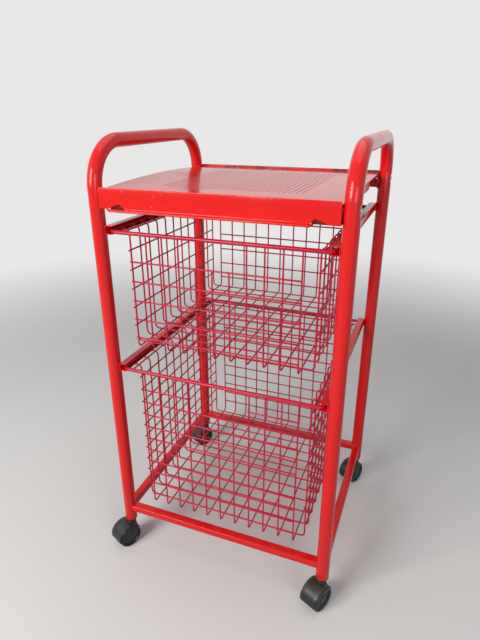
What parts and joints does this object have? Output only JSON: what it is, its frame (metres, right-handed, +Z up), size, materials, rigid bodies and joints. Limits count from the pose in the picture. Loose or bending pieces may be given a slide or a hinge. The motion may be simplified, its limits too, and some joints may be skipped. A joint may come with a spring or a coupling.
{
  "type": "household utility trolley",
  "caption": "Red tube-frame trolley with a sheet-steel top tray, two pull-out wire baskets in side runners and twin-wheel swivel castors.",
  "frame": {"origin": "on the floor, midway between the outermost points of the four castors, which is the bottom centre of the bounding box at rest", "axes": "+X to the right side frame, -Y to the front where the baskets pull out, +Z up"},
  "size_m": [0.4794, 0.452, 0.848],
  "materials": {
    "frame_paint": "gloss red enamel, scuffed and chipped",
    "basket_wire": "gloss crimson coating on steel wire",
    "castor_plastic": "moulded black plastic",
    "wheel_plastic": "moulded black plastic, dusty",
    "zinc_steel": "zinc plated"
  },
  "bodies": {
    "root": {"left_side_frame": "frame_paint", "right_side_frame": "frame_paint", "tray": "frame_paint", "tray_screws": "zinc_steel", "tray_nuts": "zinc_steel", "front_rail": "frame_paint", "rear_rail": "frame_paint", "left_rail": "frame_paint", "right_rail": "frame_paint", "upper_left_runner": "frame_paint", "upper_right_runner": "frame_paint", "lower_left_runner": "frame_paint", "lower_right_runner": "frame_paint", "front_left_socket": "castor_plastic", "front_right_socket": "castor_plastic", "rear_left_socket": "castor_plastic", "rear_right_socket": "castor_plastic"},
    "upper_basket": {"upper_basket_rim": "basket_wire", "upper_basket_long_wires": "basket_wire", "upper_basket_cross_wires": "basket_wire", "upper_basket_front_rows": "basket_wire", "upper_basket_rear_rows": "basket_wire", "upper_basket_side_rows": "basket_wire"},
    "lower_basket": {"lower_basket_rim": "basket_wire", "lower_basket_long_wires": "basket_wire", "lower_basket_cross_wires": "basket_wire", "lower_basket_front_rows": "basket_wire", "lower_basket_rear_rows": "basket_wire", "lower_basket_side_rows": "basket_wire"},
    "front_left_castor": {"front_left_stem": "zinc_steel", "front_left_castor_body": "castor_plastic", "front_left_axle": "zinc_steel"},
    "front_left_wheel_a": {"front_left_wheel_a": "wheel_plastic"},
    "front_left_wheel_b": {"front_left_wheel_b": "wheel_plastic"},
    "front_right_castor": {"front_right_stem": "zinc_steel", "front_right_castor_body": "castor_plastic", "front_right_axle": "zinc_steel"},
    "front_right_wheel_a": {"front_right_wheel_a": "wheel_plastic"},
    "front_right_wheel_b": {"front_right_wheel_b": "wheel_plastic"},
    "rear_left_castor": {"rear_left_stem": "zinc_steel", "rear_left_castor_body": "castor_plastic", "rear_left_axle": "zinc_steel"},
    "rear_left_wheel_a": {"rear_left_wheel_a": "wheel_plastic"},
    "rear_left_wheel_b": {"rear_left_wheel_b": "wheel_plastic"},
    "rear_right_castor": {"rear_right_stem": "zinc_steel", "rear_right_castor_body": "castor_plastic", "rear_right_axle": "zinc_steel"},
    "rear_right_wheel_a": {"rear_right_wheel_a": "wheel_plastic"},
    "rear_right_wheel_b": {"rear_right_wheel_b": "wheel_plastic"}
  },
  "joints": [
    {"name": "upper_basket_slide", "type": "slide", "parent": "root", "child": "upper_basket", "axis": [0, -1, 0], "range_m": [0, 0.3]},
    {"name": "lower_basket_slide", "type": "slide", "parent": "root", "child": "lower_basket", "axis": [0, -1, 0], "range_m": [0, 0.3]},
    {"name": "front_left_swivel", "type": "hinge", "parent": "root", "child": "front_left_castor", "pos_m": [-0.20574, -0.178, 0.058], "axis": [0, 0, 1], "continuous": true},
    {"name": "front_left_wheel_a_spin", "type": "hinge", "parent": "front_left_castor", "child": "front_left_wheel_a", "pos_m": [-0.2125, -0.1925, 0.025], "axis": [0.9063, -0.4226, 0], "continuous": true},
    {"name": "front_left_wheel_b_spin", "type": "hinge", "parent": "front_left_castor", "child": "front_left_wheel_b", "pos_m": [-0.2125, -0.1925, 0.025], "axis": [0.9063, -0.4226, 0], "continuous": true},
    {"name": "front_right_swivel", "type": "hinge", "parent": "root", "child": "front_right_castor", "pos_m": [0.21926, -0.178, 0.058], "axis": [0, 0, 1], "continuous": true},
    {"name": "front_right_wheel_a_spin", "type": "hinge", "parent": "front_right_castor", "child": "front_right_wheel_a", "pos_m": [0.2125, -0.1925, 0.025], "axis": [0.9063, -0.4226, 0], "continuous": true},
    {"name": "front_right_wheel_b_spin", "type": "hinge", "parent": "front_right_castor", "child": "front_right_wheel_b", "pos_m": [0.2125, -0.1925, 0.025], "axis": [0.9063, -0.4226, 0], "continuous": true},
    {"name": "rear_left_swivel", "type": "hinge", "parent": "root", "child": "rear_left_castor", "pos_m": [-0.20574, 0.207, 0.058], "axis": [0, 0, 1], "continuous": true},
    {"name": "rear_left_wheel_a_spin", "type": "hinge", "parent": "rear_left_castor", "child": "rear_left_wheel_a", "pos_m": [-0.2125, 0.1925, 0.025], "axis": [0.9063, -0.4226, 0], "continuous": true},
    {"name": "rear_left_wheel_b_spin", "type": "hinge", "parent": "rear_left_castor", "child": "rear_left_wheel_b", "pos_m": [-0.2125, 0.1925, 0.025], "axis": [0.9063, -0.4226, 0], "continuous": true},
    {"name": "rear_right_swivel", "type": "hinge", "parent": "root", "child": "rear_right_castor", "pos_m": [0.21926, 0.207, 0.058], "axis": [0, 0, 1], "continuous": true},
    {"name": "rear_right_wheel_a_spin", "type": "hinge", "parent": "rear_right_castor", "child": "rear_right_wheel_a", "pos_m": [0.2125, 0.1925, 0.025], "axis": [0.9063, -0.4226, 0], "continuous": true},
    {"name": "rear_right_wheel_b_spin", "type": "hinge", "parent": "rear_right_castor", "child": "rear_right_wheel_b", "pos_m": [0.2125, 0.1925, 0.025], "axis": [0.9063, -0.4226, 0], "continuous": true}
  ]
}
